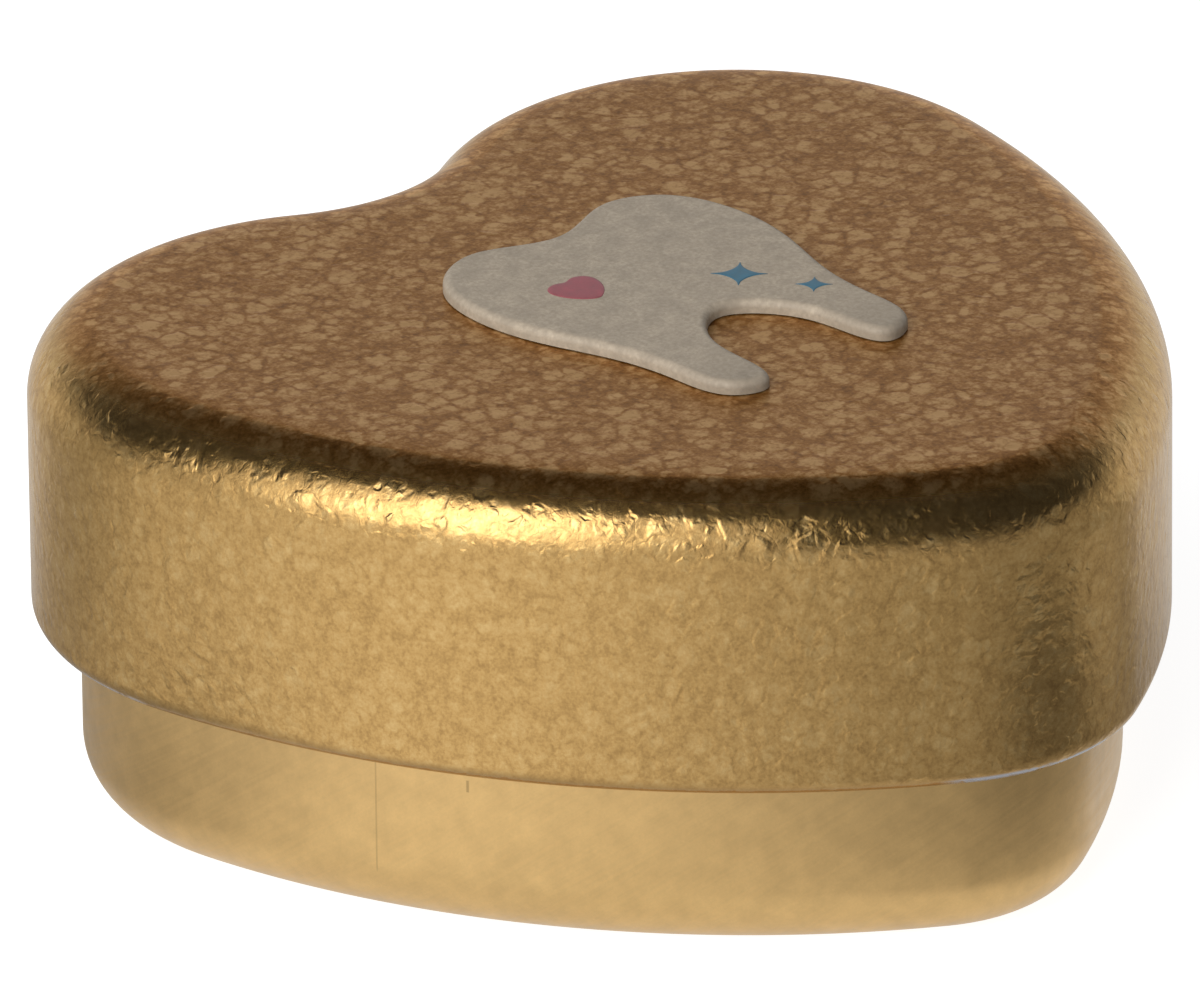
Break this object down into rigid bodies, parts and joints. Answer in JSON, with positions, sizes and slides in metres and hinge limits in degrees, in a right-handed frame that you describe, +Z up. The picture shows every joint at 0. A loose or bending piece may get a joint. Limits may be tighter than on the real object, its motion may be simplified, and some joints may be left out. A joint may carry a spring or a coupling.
{
  "type": "baby tooth box",
  "caption": "Small heart-shaped gold tin with a slip-over lid and a raised tooth on top, for keeping baby teeth.",
  "frame": {"origin": "centre of the heart's bounding box, on the surface the tin stands on", "axes": "+Z up, +Y towards the cleft of the heart, -Y towards its tip, +X across the lobes"},
  "size_m": [0.046, 0.043, 0.0208],
  "materials": {
    "lid_crackle_gold": "crackled gold lacquer on drawn tinplate, glossy on the shoulder",
    "base_satin_gold": "smooth satin gold lacquer on drawn tinplate, bare tin inside",
    "tooth_enamel": "matt ivory enamel",
    "adhesive": "clear double-sided film"
  },
  "bodies": {
    "base": {"base_shell": "base_satin_gold"},
    "lid": {"lid_shell": "lid_crackle_gold", "tooth_emblem": "tooth_enamel", "glue_pad": "adhesive"}
  },
  "joints": [
    {"name": "lid_lift", "type": "slide", "parent": "base", "child": "lid", "axis": [0, 0, 1], "range_m": [0, 0.025]}
  ]
}
